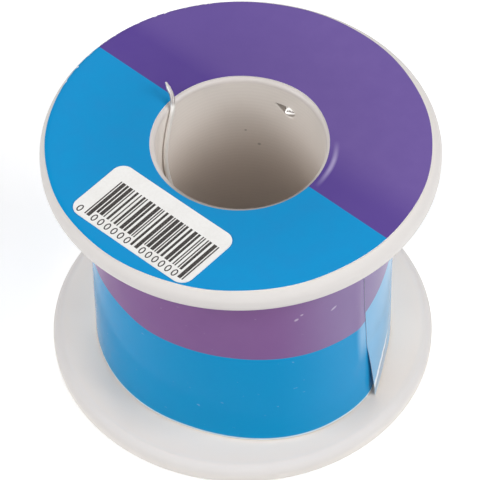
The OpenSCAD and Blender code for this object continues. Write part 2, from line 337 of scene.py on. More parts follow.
# painted shade: the upper mouth's lip is greyed, most at the front, where its face turns away from the light
onLip = addNode(tree, "MapRange", {0: radius, 1: 11.6 * mm, 2: 11.3 * mm}, **eased)[0]
nearTop = addNode(tree, "MapRange", {0: axes["Z"], 1: 37.1 * mm, 2: 37.6 * mm}, **eased)[0]
lip = addNode(tree, "Math", {0: onLip, 1: nearTop}, **times)[0]
front = addNode(tree, "MapRange", {0: axes["Y"], 1: -4 * mm, 2: -9 * mm, 3: 0.0, 4: 0.75}, **eased)[0]
for share, tone in ((0.6, "#cdc5c3"), (front, "#6f6863")):
    lipShadeShare = addNode(tree, "Math", {0: lip, 1: share}, **times)[0]
    wall = addNode(tree, "Mix", {0: lipShadeShare, 6: wall, 7: linear(tone)}, **colours)[2]
wall = addNode(tree, "Mix", {0: bandShade, 6: wall, 7: linear("#6d655e")}, **colours)[2]
# painted shade: inside the slots the wall is darkened as if in shadow: from where to where the shade fades
# in, mm
stain = addNode(tree, "MapRange", {0: radius, 1: 10.68 * mm, 2: 10.85 * mm, 3: 0.0, 4: 0.45})[0]
for across, off, on in ((radius, 12.18, 12.1), (axes["Z"], 36, 35.5), (axes["Z"], 4, 5)):
    within = addNode(tree, "MapRange", {0: across, 1: off * mm, 2: on * mm})[0]
    stain = addNode(tree, "Math", {0: stain, 1: within}, **times)[0]
wall = addNode(tree, "Mix", {0: stain, 6: wall, 7: linear("#7d675a")}, **colours)[2]
# two dark specks in the bore's wall: bearing in degrees, height and size in mm
for bearing, height, size in ((76.8, 26.1, 0.3), (86.4, 28.5, 0.22)):
    b = np.radians(bearing)
    speck = (boreAt(height) * np.cos(b) * mm, boreAt(height) * np.sin(b) * mm, height * mm)
    away = addNode(tree, "VectorMath", {0: place, 1: speck}, operation="DISTANCE")["Value"]
    fade = {0: away, 1: size * mm, 2: 0.4 * size * mm, 3: 0.0, 4: 0.45}
    dark = addNode(tree, "MapRange", fade, **eased)[0]
    wall = addNode(tree, "Mix", {0: dark, 6: wall, 7: linear("#5d554c")}, **colours)[2]
tree.links.new(wall, socket["Base Color"])
rough = addNode(tree, "MapRange", {0: cloud, 1: 0.3, 2: 0.7, 3: 0.3, 4: 0.42})[0]
rough = addNode(tree, "Math", {0: rough, 1: matt}, operation="MAXIMUM")[0]
tree.links.new(rough, socket["Roughness"])
bump = addNode(tree, "Bump", {"Strength": 0.25, "Distance": 0.02 * mm, "Height": grain})[0]
bump = addNode(tree, "Bump", {"Strength": 0.4, "Distance": 0.08 * mm, "Height": cloud, "Normal": bump})[0]
tree.links.new(bump, socket["Normal"])
dress(body, "spool_plastic", [polystyrene], "spool_body")
print("spool:", len(body.data.polygons), "faces")

# The winding, mm: the outer layer's middle radius, its first and last turn, and the ring of layers under
# it, with the length of its outside and of its section for the drawn lines
winding = {
    "radius": 18.75, "low": 3.8, "high": 34.2, "turns": 50, "perTurn": 72, "sides": 8, "sharp": 80,
    "coreIn": 12.3, "coreOut": 18.4, "coreLow": 3.5, "cone": 0.9, "coreSteps": 120, "perScallop": 6,
    "coreRound": 115, "coreAcross": 60,
}

# Tin-lead solder, drawn: bright silver wire with fine lines along it and a dull bloom in places
solder, tree, socket = newMaterial("solderDrawn", Metallic=0.35)
place = addNode(tree, "TexCoord")["Object"]
lay = addNode(tree, "UVMap", uv_map="lay")[0]
# lines about 1.7 mm long and a ninth of the way round, and 1.6 mm patches of bloom
lines = addNode(tree, "Mapping", {0: lay, "Scale": (0.6, 9.0, 1.0)})[0]
drawn = addNode(tree, "TexNoise", {"Vector": lines, "Scale": 1.0, "Detail": 3.0})[0]
bloom = addNode(tree, "TexNoise", {"Vector": place, "Scale": 1 / (1.6 * mm), "Detail": 3.0})[0]
silver = addNode(tree, "Mix", {0: bloom, 6: linear("#fffefc"), 7: linear("#f6f3ef")}, **colours)[2]
# painted shade: the tail is darkened where it bends over the rim, standing in for a dark reflection, and less
# so at its tip
height = addNode(tree, "SeparateXYZ", {0: place})["Z"]
bent = addNode(tree, "MapRange", {0: height, 1: 38.2 * mm, 2: 38.8 * mm, 3: 0.0, 4: 0.85}, **eased)[0]
tip = addNode(tree, "MapRange", {0: height, 1: 39.2 * mm, 2: 39.7 * mm, 3: 1.0, 4: 0.6}, **eased)[0]
paintedHookShade = addNode(tree, "Math", {0: bent, 1: tip}, **times)[0]
silver = addNode(tree, "Mix", {0: paintedHookShade, 6: silver, 7: linear("#8b8482")}, **colours)[2]
tree.links.new(silver, socket["Base Color"])
rough = addNode(tree, "MapRange", {0: bloom, 1: 0.3, 2: 0.75, 3: 0.3, 4: 0.46})[0]
tree.links.new(rough, socket["Roughness"])
bump = addNode(tree, "Bump", {"Strength": 0.3, "Distance": 0.02 * mm, "Height": drawn})[0]
tree.links.new(bump, socket["Normal"])


def wireUv(path, sides):
    # u is the length along the wire in mm, v goes from 0 to 1 round it
    run = np.concatenate([[0], np.cumsum(np.linalg.norm(np.diff(path, axis=0), axis=1))])
    u, v = np.append(run, run[-1])[:, None], np.linspace(0, 1, sides + 1)[None]
    return np.stack(np.broadcast_arrays(u, v), -1)


# outer layer: a helix whose turns lie side by side
t = np.linspace(0, 1, winding["turns"] * winding["perTurn"] + 1)
a = 2 * np.pi * winding["turns"] * t
helix = np.stack([winding["radius"] * np.cos(a), winding["radius"] * np.sin(a),
                  winding["low"] + (winding["high"] - winding["low"]) * t], -1)
size = np.full(len(helix), wire["radius"])
outer = sweep("solderOuterLayer", tube(helix, size, size, winding["sides"]),
              uv=wireUv(helix, winding["sides"]), sharp=winding["sharp"])
dress(outer, "solder", [solder], "solder_outer_layer")

# inner layers: a ring whose outside is scalloped by the turns of the outer layer, one half circle for each
low, top = winding["coreLow"], spool["height"] - winding["coreLow"]
z = np.linspace(low, top, winding["turns"] * winding["perScallop"] + 1)
dip = np.abs(np.sin(np.pi * winding["turns"] * (z - z[0]) / (top - low)))
outside = np.stack([winding["coreOut"] - wire["radius"] * (1 - np.sqrt(dip)), z], -1)
cone, coreIn = winding["cone"], winding["coreIn"]
inside = np.array([(coreIn + cone, top), (coreIn, top - cone), (coreIn, low + cone), (coreIn + cone, low)])
ring = np.concatenate([outside, inside])
u = np.linspace(0, winding["coreRound"], winding["coreSteps"] + 1)
v = np.linspace(0, winding["coreAcross"], len(ring) + 1)
inner = sweep("solderInnerLayers", revolve(ring, winding["coreSteps"]), closed=True,
              uv=np.stack(np.meshgrid(u, v, indexing="ij"), -1))
dress(inner, "solder", [solder], "solder_inner_layers")

# The long tail. slot: share of the slot's length below its middle, share of the way out through the wall.
# wall: degrees round the axis, share of the height below the top, wire diameters in from the wall. press
# and spread are the shares by which the cutters flatten and widen the tip, over its last steps.
tail = {
    "slotLength": 4.4,
    "slot": [(0.27, 1.0), (0.27, 0.66), (0.2, 0.4), (0.02, 0.18), (-0.23, 0.06)],
    "wall": [(146.5, 0.45, 0), (150.6, 0.38, 0), (154.2, 0.32, 0), (157.4, 0.26, 0), (159, 0.2, 0),
             (157.7, 0.14, 0), (154.9, 0.1, 0), (152, 0.07, 0), (149, 0.04, 0), (146.2, 0.01, 0),
             (143.4, -0.015, 0.5), (140.8, -0.03, 1.4), (139.2, -0.04, 2.6), (137.4, -0.045, 3.85)],
    "sides": 16, "perSpan": 8, "sharp": 60, "nipSteps": 8, "press": 0.45, "spread": 0.12,
}


def lying(z):
    # middle of a wire that lies on the bore's wall
    return boreAt(z) - wire["radius"] - wire["clear"]


inSlot, onWall = np.array(tail["slot"]), np.array(tail["wall"], float)
slotZ = slots[1]["height"] - inSlot[:, 0] * tail["slotLength"]
slotR = lying(slotZ) + inSlot[:, 1] * (spool["barrel"] - lying(slotZ))
wallZ = spool["height"] * (1 - onWall[:, 1])
wallR = lying(wallZ) + onWall[:, 2] * 2 * wire["radius"]
a = np.radians(np.concatenate([np.full(len(slotZ), slots[1]["at"]), onWall[:, 0]]))
r, z = np.concatenate([slotR, wallR]), np.concatenate([slotZ, wallZ])
tailPath = smoothPath(np.stack([r * np.cos(a), r * np.sin(a), z], -1), tail["perSpan"])
last = len(tailPath) - 1
nip = smoothStep(np.arange(last + 1), last - tail["nipSteps"], last)
tailRings = tube(tailPath, wire["radius"] * (1 - tail["press"] * nip),
                 wire["radius"] * (1 + tail["spread"] * nip), tail["sides"])
tailPiece = sweep("solderTail", tailRings, uv=wireUv(tailPath, tail["sides"]), sharp=tail["sharp"])
dress(tailPiece, "solder", [solder], "solder_tail")

# The cut end in the upper slot, mm: how far it stands into the bore and its slant, as its run along the
# slot over the wall's depth. nipFace is the way the nipped end looks and nipLong the way of its long side.
# spread and press are the shares by which the cutters widen and flatten it, kick is how far it springs up,
# and torn the share by which it is three-cornered.
stub = {
    "reach": 0.3, "run": 1.4, "wall": 1.8, "length": 3.0, "steps": 24, "sides": 24, "sharp": 30,
    "nipFace": (0.2, -0.65, 0.73), "nipLong": (1.0, -0.28, -0.24), "nipDeep": 0.9,
    "spread": 1.15, "press": -0.1, "kick": 0.75, "kickDeep": 1.4, "torn": 0.14, "tornTurn": 0.8,
}
slant = np.arctan(stub["run"] / stub["wall"])
lengths = np.linspace(0, stub["length"], stub["steps"])
stubPath = slotFrame(slots[0], np.stack([
    boreAt(slots[0]["height"]) - stub["reach"] + lengths * np.cos(slant),
    -stub["run"] / 2 - stub["reach"] * np.tan(slant) + lengths * np.sin(slant),
    stub["kick"] * (1 - smoothStep(lengths, 0, stub["kickDeep"]))], -1))
stubWay = unit(stubPath[-1] - stubPath[0])
longSide = np.array(stub["nipLong"])
level = unit(longSide - (longSide @ stubWay) * stubWay)
rise = np.cross(level, stubWay)


def nippedRings(depth, halfLevel, halfRise, sides, ease):
    # ellipses square to the wire, a little three-cornered where the cutters tore it; each point is then
    # slid along the wire until the first ring lies in the plane of the cut, and the slide fades out with
    # depth by ease
    b = 2 * np.pi * (np.arange(sides) + 0.5) / sides
    torn = (1 + stub["torn"] * ease[:, None] * np.cos(3 * b + stub["tornTurn"]))[..., None]
    q = torn * ((halfLevel[:, None] * np.cos(b))[..., None] * level
                + (halfRise[:, None] * np.sin(b))[..., None] * rise)
    face = np.array(stub["nipFace"])
    slide = -(q @ face) / (stubWay @ face) * ease[:, None]
    middle = np.stack([np.interp(depth, lengths, stubPath[:, axis]) for axis in range(3)], -1)
    return middle[:, None] + q + slide[..., None] * stubWay


nip = 1 - smoothStep(lengths, 0, stub["nipDeep"])
stubRings = nippedRings(lengths, wire["radius"] * (1 + stub["spread"] * nip),
                        wire["radius"] * (1 - stub["press"] * nip), stub["sides"], nip)
stubPiece = sweep("solderCutEnd", stubRings, uv=wireUv(stubPath, stub["sides"]), sharp=stub["sharp"])
dress(stubPiece, "solder", [solder], "solder_cut_end")

# Rosin flux: amber resin, glassy where the cutters broke it, with 0.15 mm clouding
rosin, tree, socket = newMaterial("rosinCut", IOR=1.53, Roughness=0.3)
place = addNode(tree, "TexCoord")["Object"]
cloudy = addNode(tree, "TexNoise", {"Vector": place, "Scale": 1 / (0.15 * mm), "Detail": 2.0})[0]
amber = addNode(tree, "Mix", {0: cloudy, 6: linear("#4a2a10"), 7: linear("#7d4f1f")}, **colours)[2]
tree.links.new(amber, socket["Base Color"])

# The flux in the two ends of the wire, mm: how far it stands out of the cut, how deep it goes and how deep
# it is nipped. press and spread are the shares by which the cutters flatten and widen it.
flux = {
    "proud": 0.02, "deep": 0.8, "nipDeep": 0.7, "steps": 6, "sides": 12, "sharp": 50,
    "stubPress": 0.15, "stubSpread": 4.0, "tailPress": 0.5, "tailSpread": 0.9,
}


def tailPlug():
    # ellipses flattened with the wire, from just proud of the tail's cut to some way inside it
    inward = unit(tailPath[-4] - tailPath[-1])
    face = tailPath[-1] * [1, 1, 0]
    face = unit(face - (face @ inward) * inward)
    depth = np.linspace(-flux["proud"], flux["deep"], flux["steps"])[:, None, None]
    ease = 1 - smoothStep(depth, 0, flux["nipDeep"])
    b = 2 * np.pi * (np.arange(flux["sides"])[None, :, None] + 0.5) / flux["sides"]
    return (tailPath[-1] + depth * inward + wire["flux"] * (1 - flux["tailPress"] * ease) * np.cos(b) * face
            + wire["flux"] * (1 + flux["tailSpread"] * ease) * np.sin(b) * np.cross(inward, face))


depth = np.linspace(0, flux["deep"], flux["steps"])
ease = 1 - smoothStep(depth, 0, flux["nipDeep"])
stubPlug = nippedRings(depth - flux["proud"], wire["flux"] * (1 + flux["stubSpread"] * ease),
                       wire["flux"] * (1 - flux["stubPress"] * ease), flux["sides"],
                       1 - smoothStep(depth, 0, stub["nipDeep"]))
dress(sweep("fluxCore", stubPlug, sharp=flux["sharp"]), "flux", [rosin], "flux_core")
dress(sweep("fluxCoreTail", tailPlug(), sharp=flux["sharp"]), "flux", [rosin])
woundFaces = len(outer.data.polygons) + len(inner.data.polygons)
print("solder:", woundFaces, "faces in the winding,", len(tailPath), "steps in the tail")

# The round label, mm: stuck on a little off centre, its edge bent over the rounded rim. Its hole is off
# centre too and punched wide at one bearing (degrees, mm, degrees), and the paper is pressed thinner there
# by a share that fades over thinFade. border is the bearing of the line where its colours meet, and
# layRadius the radius at which its lay is measured.
label = {
    "radius": 24.0, "shift": (-0.25, 0.06), "hole": 11.18, "holeShift": (-0.12, -0.15),
    "holeTear": (45.0, 0.26, 26.0), "thick": 0.15, "thinner": 0.25, "thinFade": 0.3, "wander": 0.05,
    "border": 137.5, "layRadius": 22, "knockAt": 126, "steps": 288, "across": 40, "sharp": 40,
}


def labelRings():
    # at each bearing a loop: out along the top, round the edge and back underneath. Distance out is flat up
    # to the rim's arc and then follows it; a point stands off along the surface's normal by its share of
    # the thickness.
    flat, rim, h = spool["radius"] - spool["rim"], spool["rim"], spool["height"]
    b = 2 * np.pi * np.arange(label["steps"]) / label["steps"]
    sx, sy = label["shift"]
    toward = sx * np.cos(b) + sy * np.sin(b)
    edge = toward + np.sqrt(label["radius"] ** 2 - (sx ** 2 + sy ** 2 - toward ** 2))
    edge = edge + label["wander"] * np.sin(9 * b + 1) * np.sin(4 * b)  # the die cut wanders a little
    bend = np.where(edge > flat, rim * np.arcsin(np.clip((edge - flat) / rim, 0, 0.95)), edge - flat)
    hole = label["hole"] + label["holeShift"][0] * np.cos(b) + label["holeShift"][1] * np.sin(b)
    tearAt, tearDeep, tearWide = label["holeTear"]
    hole = hole + tearDeep * np.exp(-((np.degrees(b) - tearAt) / tearWide) ** 2)
    share = 0.5 - 0.5 * np.cos(np.linspace(0, np.pi, label["across"]))
    s = hole[:, None] + (flat + bend - hole)[:, None] * share  # length along the surface from the axis
    over = np.clip(s - flat, 0, None) / rim
    baseR, baseZ = np.minimum(s, flat) + rim * np.sin(over), h - rim + rim * np.cos(over)
    fromHole = share * (flat - label["hole"])
    lift = label["thick"] * (1 - label["thinner"] * np.exp(-(fromHole / label["thinFade"]) ** 2))
    topR, topZ = baseR + lift * np.sin(over), baseZ + lift * np.cos(over)
    r, z = np.concatenate([topR, baseR[:, ::-1]], 1), np.concatenate([topZ, baseZ[:, ::-1]], 1)
    edgeIn = (flat + bend)[:, None] - np.concatenate([s, s[:, ::-1]], 1)  # distance in from the outer edge
    lay = np.stack([np.broadcast_to(b[:, None] * label["layRadius"], edgeIn.shape), edgeIn], -1)
    return np.stack([r * np.cos(b)[:, None], r * np.sin(b)[:, None], z], -1), lay


# its lay: mm round the edge and mm in from it, with the first row and column again at the end
rings, lay = labelRings()
lay = np.concatenate([lay, lay[:1]])
lay = np.concatenate([lay, lay[:, :1]], 1)
lay[-1, :, 0] = 2 * np.pi * label["layRadius"]
printed = np.arange(2 * label["across"]) < label["across"] - 1
labelPiece = sweep("ringLabel", rings, closed=True, uv=lay, slots=np.where(printed, 0, 1),
                   sharp=label["sharp"])

# Coated paper, offset printed and varnished: two even colours, a satin shine, white where the edge is knocked
labelPrint, tree, socket = newMaterial("paperPrintedVarnished", IOR=1.48, Specular_IOR_Level=0.06)
place = addNode(tree, "TexCoord")["Object"]
axes = addNode(tree, "SeparateXYZ", {0: place})
lay = addNode(tree, "UVMap", uv_map="lay")[0]
along, edgeIn, _ = addNode(tree, "SeparateXYZ", {0: lay})
turned = addNode(tree, "Mapping", {0: place, "Rotation": (0, 0, -np.radians(label["border"]))})[0]
acrossBorder = addNode(tree, "SeparateXYZ", {0: turned})["Y"]
onBlue = addNode(tree, "MapRange", {0: acrossBorder, 1: -0.06 * mm, 2: 0.06 * mm})[0]
# 2.5 mm ink mottle and 0.25 mm paper fibre
mottle = addNode(tree, "TexNoise", {"Vector": place, "Scale": 1 / (2.5 * mm), "Detail": 4.0})[0]
fibre = addNode(tree, "TexNoise", {"Vector": place, "Scale": 1 / (0.25 * mm), "Detail": 2.0})[0]
violet = addNode(tree, "Mix", {0: mottle, 6: linear("#6d56a0"), 7: linear("#7a64a9")}, **colours)[2]
blue = addNode(tree, "Mix", {0: mottle, 6: linear("#0b92d3"), 7: linear("#149cda")}, **colours)[2]
# painted shade: the violet is darker beside the border and towards the back left, where less light falls on
# it
beside = addNode(tree, "MapRange", {0: acrossBorder, 1: -9 * mm, 2: -2 * mm, 3: 0.0, 4: 0.9}, **eased)[0]
leftShade = addNode(tree, "MapRange", {0: axes["X"], 1: 13 * mm, 2: -4 * mm, 3: 0.0, 4: 0.44})[0]
paintedVioletShade = addNode(tree, "Math", {0: beside, 1: leftShade}, operation="ADD", use_clamp=True)[0]
violet = addNode(tree, "Mix", {0: paintedVioletShade, 6: violet, 7: linear("#5d4697")}, **colours)[2]
ink = addNode(tree, "Mix", {0: onBlue, 6: violet, 7: blue}, **colours)[2]
# both inks are a shade darker towards the hole
inward = addNode(tree, "MapRange", {0: edgeIn, 1: 2.0, 2: 10.0, 3: 0.02, 4: 0.1})[0]
ink = addNode(tree, "Mix", {0: inward, 6: ink, 7: linear("#101828")}, **colours)[2]
# painted highlight: a pale streak beside the hole: its place along the edge and in from it, and how far it
# fades each way, mm
labelHighlight = 0.5
for way, at, wide, core in ((along, 130.4, 7.6, 1.5), (edgeIn, 11.82, 0.42, 0.08)):
    near = addNode(tree, "MapRange", {0: apart(tree, way, at), 1: wide, 2: core})[0]
    labelHighlight = addNode(tree, "Math", {0: near, 1: labelHighlight}, **times)[0]
ink = addNode(tree, "Mix", {0: labelHighlight, 6: ink, 7: linear("#cfc4e6")}, **colours)[2]
# knocks at the edge reach up to 0.5 mm in, within 9 to 13 mm of one bearing
knocks = addNode(tree, "Mapping", {0: lay, "Scale": (0.8, 0.5, 1)})[0]
knock = addNode(tree, "TexNoise", {"Vector": knocks, "Scale": 1.0, "Detail": 4.0})[0]
reach = addNode(tree, "MapRange", {0: knock, 1: 0.52, 2: 0.8, 3: 0.0, 4: 0.5})[0]
knockAt = np.radians(label["knockAt"]) * label["layRadius"]
near = addNode(tree, "MapRange", {0: apart(tree, along, knockAt), 1: 9.0, 2: 13.0, 3: 1.0, 4: 0.0})[0]
reach = addNode(tree, "Math", {0: reach, 1: near}, **times)[0]
worn = addNode(tree, "Math", {0: reach, 1: edgeIn}, operation="GREATER_THAN")[0]
ink = addNode(tree, "Mix", {0: worn, 6: ink, 7: linear("#eceaf2")}, **colours)[2]
tree.links.new(ink, socket["Base Color"])
rough = addNode(tree, "MapRange", {0: mottle, 1: 0.3, 2: 0.7, 3: 0.36, 4: 0.48})[0]
tree.links.new(rough, socket["Roughness"])
bump = addNode(tree, "Bump", {"Strength": 0.2, "Distance": 0.02 * mm, "Height": fibre})[0]
bump = addNode(tree, "Bump", {"Strength": 0.3, "Distance": 0.04 * mm, "Height": mottle, "Normal": bump})[0]
tree.links.new(bump, socket["Normal"])

# Bare paper: the white core at a cut edge, matt, with 0.2 mm fibre
barePaper, tree, socket = newMaterial("paperCutEdge", IOR=1.45, Roughness=0.8)
place = addNode(tree, "TexCoord")["Object"]
fibre = addNode(tree, "TexNoise", {"Vector": place, "Scale": 1 / (0.2 * mm), "Detail": 3.0})[0]
core = addNode(tree, "Mix", {0: fibre, 6: linear("#f6f5f4"), 7: linear("#e4e2e0")}, **colours)[2]
tree.links.new(core, socket["Base Color"])
bump = addNode(tree, "Bump", {"Strength": 0.3, "Distance": 0.02 * mm, "Height": fibre})[0]
tree.links.new(bump, socket["Normal"])
dress(labelPiece, "label_print", [labelPrint, barePaper], "ring_label")

# The sticker, mm: how far out it lies, at what bearing and twist in degrees, and how far its corners curl up
sticker = {
    "length": 19.0, "width": 9.8, "corner": 1.6, "thick": 0.1, "out": 17.2, "bearing": 231.0, "twist": -3.0,
    "curl": 0.05, "curlFrom": 1.05, "curlTo": 1.4, "rows": 41, "columns": 33, "sharp": 40,
}
# the bars printed on it, in the sticker's own frame, with the numbers of the long ones; sink is how far the
# ink goes into the paper
bars = {
    "left": -7.4, "right": 8.7, "top": 2.5, "bottom": -3.1, "guardBottom": -4.2, "ink": 0.012, "sink": 0.004,
    "count": 30, "long": (0, 1, 14, 15, 28, 29), "seed": 4,
}
# and the noughts under them: one before the bars and a group under each half
digits = {
    "clear": 0.65, "lone": -8.3, "middle": -3.95, "height": 1.15, "width": 0.7, "stroke": 0.16, "perGroup": 6,
    "points": 20,
}


def onSticker(x, y, z):
    # sticker coordinates to the spool: turned a quarter past its bearing and set out from the axis on the
    # label, with its corners standing up a hair
    b = np.radians(sticker["bearing"])
    a = b + np.pi / 2 + np.radians(sticker["twist"])
    toEdge = np.hypot(2 * x / sticker["length"], 2 * y / sticker["width"])
    curl = sticker["curl"] * smoothStep(toEdge, sticker["curlFrom"], sticker["curlTo"])
    return np.stack([sticker["out"] * np.cos(b) + x * np.cos(a) - y * np.sin(a),
                     sticker["out"] * np.sin(b) + x * np.sin(a) + y * np.cos(a),
                     spool["height"] + label["thick"] + z + curl], -1)


# rows across the sticker: each row's half length is set by the corner's circle,
# sqrt(c^2 - (|y| - straight)^2); the outermost rows stay a hair inside, so that the root stays real
straight = sticker["width"] / 2 - sticker["corner"]
y = sticker["width"] / 2 * np.sin(np.linspace(-np.pi / 2, np.pi / 2, sticker["rows"])) * 0.9999
cornerX = np.sqrt(sticker["corner"] ** 2 - np.clip(np.abs(y) - straight, 0, None) ** 2)
halfLength = sticker["length"] / 2 - sticker["corner"] + cornerX
x = halfLength[:, None] * np.linspace(-1, 1, sticker["columns"])
y = np.broadcast_to(y[:, None], x.shape)
rows = np.concatenate([onSticker(x, y, sticker["thick"]), onSticker(x, y, 0)[:, ::-1]], 1)
stickerPiece = sweep("barcodeSticker", rows, sharp=sticker["sharp"])

# Label stock, uncoated: bright matt white, with 0.3 mm fibre and a 5 mm shade from handling
stock, tree, socket = newMaterial("paperUncoated", IOR=1.45, Roughness=0.62)
place = addNode(tree, "TexCoord")["Object"]
fibre = addNode(tree, "TexNoise", {"Vector": place, "Scale": 1 / (0.3 * mm), "Detail": 3.0})[0]
soil = addNode(tree, "TexNoise", {"Vector": place, "Scale": 1 / (5 * mm), "Detail": 3.0})[0]
paper = addNode(tree, "Mix", {0: fibre, 6: linear("#fbfaf8"), 7: linear("#efedea")}, **colours)[2]
shade = addNode(tree, "MapRange", {0: soil, 1: 0.45, 2: 0.8, 3: 0.0, 4: 0.3})[0]
paper = addNode(tree, "Mix", {0: shade, 6: paper, 7: linear("#dcd8d2")}, **colours)[2]
tree.links.new(paper, socket["Base Color"])
bump = addNode(tree, "Bump", {"Strength": 0.25, "Distance": 0.02 * mm, "Height": fibre})[0]
tree.links.new(bump, socket["Normal"])
dress(stickerPiece, "sticker_paper", [stock], "barcode_sticker")

# bars of one to three modules with gaps of one or two, drawn at random and scaled to the printed width
draw = np.random.default_rng(bars["seed"])
drawnBars = bars["count"] - 2
widths = np.concatenate([[1], draw.choice([1, 2, 3], drawnBars, p=[0.5, 0.32, 0.18]), [1]])
gaps = np.concatenate([[1], draw.choice([1, 2], drawnBars, p=[0.55, 0.45])])
starts = np.concatenate([[0], np.cumsum(widths[:-1] + gaps)])
module = (bars["right"] - bars["left"]) / (starts[-1] + widths[-1])
barLeft, barRight = bars["left"] + module * starts, bars["left"] + module * (starts + widths)
barLow = np.where(np.isin(np.arange(bars["count"]), bars["long"]), bars["guardBottom"], bars["bottom"])


def inkHeight(share):
    # height of printed ink: 0 is its underside, sunk into the paper, and 1 its top, a hair above it
    return sticker["thick"] - bars["sink"] + (bars["ink"] + bars["sink"]) * share


def inkBlocks(x0, x1, y0, y1):
    # flat printed blocks as one mesh: eight corners and six quads each
    corner = np.array([(0, 0, 0), (1, 0, 0), (1, 1, 0), (0, 1, 0),
                       (0, 0, 1), (1, 0, 1), (1, 1, 1), (0, 1, 1)])
    face = np.array([(0, 3, 2, 1), (4, 5, 6, 7), (0, 1, 5, 4), (1, 2, 6, 5), (2, 3, 7, 6), (3, 0, 4, 7)])
    x = x0[:, None] + (x1 - x0)[:, None] * corner[:, 0]
    y = y0[:, None] + (y1 - y0)[:, None] * corner[:, 1]
    z = np.broadcast_to(inkHeight(corner[:, 2]), x.shape)
    faces = face[None] + len(corner) * np.arange(len(x0))[:, None, None]
    return onSticker(x, y, z).reshape(-1, 3), faces.reshape(-1, 4)


def inkOvals(middles):
    # noughts as one mesh: each is an oval ring of four-sided section, its middle line half a stroke inside
    # the digit's height and width
    n, count = digits["points"], len(middles)
    b = 2 * np.pi * np.arange(n)[:, None] / n
    section = np.array([(-0.5, 0), (0.5, 0), (0.5, 1), (-0.5, 1)])
    aside = section[:, 0] * digits["stroke"]
    ovalX = (digits["width"] / 2 - digits["stroke"] / 2 + aside)[None] * np.cos(b)
    ovalY = digits["middle"] + (digits["height"] / 2 - digits["stroke"] / 2 + aside)[None] * np.sin(b)
    ovalZ = np.broadcast_to(inkHeight(section[:, 1]), ovalX.shape)
    x = middles[:, None, None] + ovalX
    points = onSticker(x, np.broadcast_to(ovalY, x.shape), np.broadcast_to(ovalZ, x.shape))
    i, j = (g.ravel() for g in np.meshgrid(np.arange(n), np.arange(4), indexing="ij"))
    onward, beside = (i + 1) % n * 4, (j + 1) % 4
    oval = np.stack([i * 4 + j, onward + j, onward + beside, i * 4 + beside], -1)
    return points.reshape(-1, 3), (oval[None] + 4 * n * np.arange(count)[:, None, None]).reshape(-1, 4)


groups = [np.linspace(barRight[p] + digits["clear"], barLeft[q] - digits["clear"], digits["perGroup"])
          for p, q in (bars["long"][1:3], bars["long"][3:5])]
barPoints, barFaces = inkBlocks(barLeft, barRight, barLow, np.full(bars["count"], bars["top"]))
ovalPoints, ovalFaces = inkOvals(np.concatenate([[digits["lone"]], *groups]))
inkMesh = bpy.data.meshes.new("stickerBars")
inkMesh.from_pydata((np.concatenate([barPoints, ovalPoints]) * mm).tolist(), [],
                    np.concatenate([barFaces, ovalFaces + len(barPoints)]).tolist())
inkPiece = bpy.data.objects.new("stickerBars", inkMesh)
bpy.context.scene.collection.objects.link(inkPiece)

# Thermal print: warm black, matt, with tiny pale misses between 0.16 mm print dots
thermal, tree, socket = newMaterial("thermalInk", IOR=1.45, Roughness=0.7)
place = addNode(tree, "TexCoord")["Object"]
miss = addNode(tree, "TexNoise", {"Vector": place, "Scale": 1 / (0.16 * mm), "Detail": 2.0})[0]
pale = addNode(tree, "MapRange", {0: miss, 1: 0.5, 2: 0.75, 3: 0.0, 4: 0.5})[0]
black = addNode(tree, "Mix", {0: pale, 6: linear("#231e1c"), 7: linear("#8a8480")}, **colours)[2]
tree.links.new(black, socket["Base Color"])
dress(inkPiece, "sticker_paper", [thermal])
print("labels:", len(labelPiece.data.polygons), "faces in the round one,", len(widths), "bars")

# The film round the winding. Degrees round the axis, mm elsewhere: it starts at its free outer edge, goes
# once round and ends under itself. border gives the height where the two printed bands meet. The rest is
# how slack the film is: how far it bulges, where from and to, the ridge beside the free edge, the free
# end's lifted corner and how far the ply under it follows, how its edge leans, and the crease above its
# tucked foot.
film = {
    "radius": 19.3, "thick": 0.07, "plyGap": 0.03, "low": 3.4, "high": 34.6, "free": 320.4, "lap": 60.0,
    "plyFrom": 2, "plyTo": 16, "rows": 64, "crowd": 1.3, "sharp": 50, "borderSpan": 16,
    "border": [(320, 19.6), (332, 20.3), (345, 21.3), (360, 21.9), (400, 21.2), (520, 20.0), (570, 20.6),
               (593, 19.8), (629, 19.4), (660, 18.5), (682, 17.8), (742, 17.2)],
    "bulge": 1.7, "bulgeFrom": -118.0, "bulgeFull": -60.0, "bulgeTo": -50.0, "bulgeFall": 20.0,
    "bulgeTop": 0.15, "bulgeCurve": 1.5,
    "ridge": 0.12, "ridgeAt": 356, "ridgeWide": 2.6, "ridgeLow": 9, "ridgeHigh": 13,
    "lift": 1.05, "liftTop": 12.5, "liftFall": 17.0, "liftCurve": 0.9,
    "follow": 0.25, "followAt": 362, "followWide": 6,
    "slip": 1.9, "slipTop": 22.0, "slipLow": 9.0, "slipFall": 12,
    "wave": 0.03, "waveRound": 5, "waveUp": 0.35,
    "tuck": 0.05, "tuckDeep": 1.2, "tuckFrom": 20, "tuckTo": 30, "creaseLow": 4.9, "creaseSlope": 0.25,
}


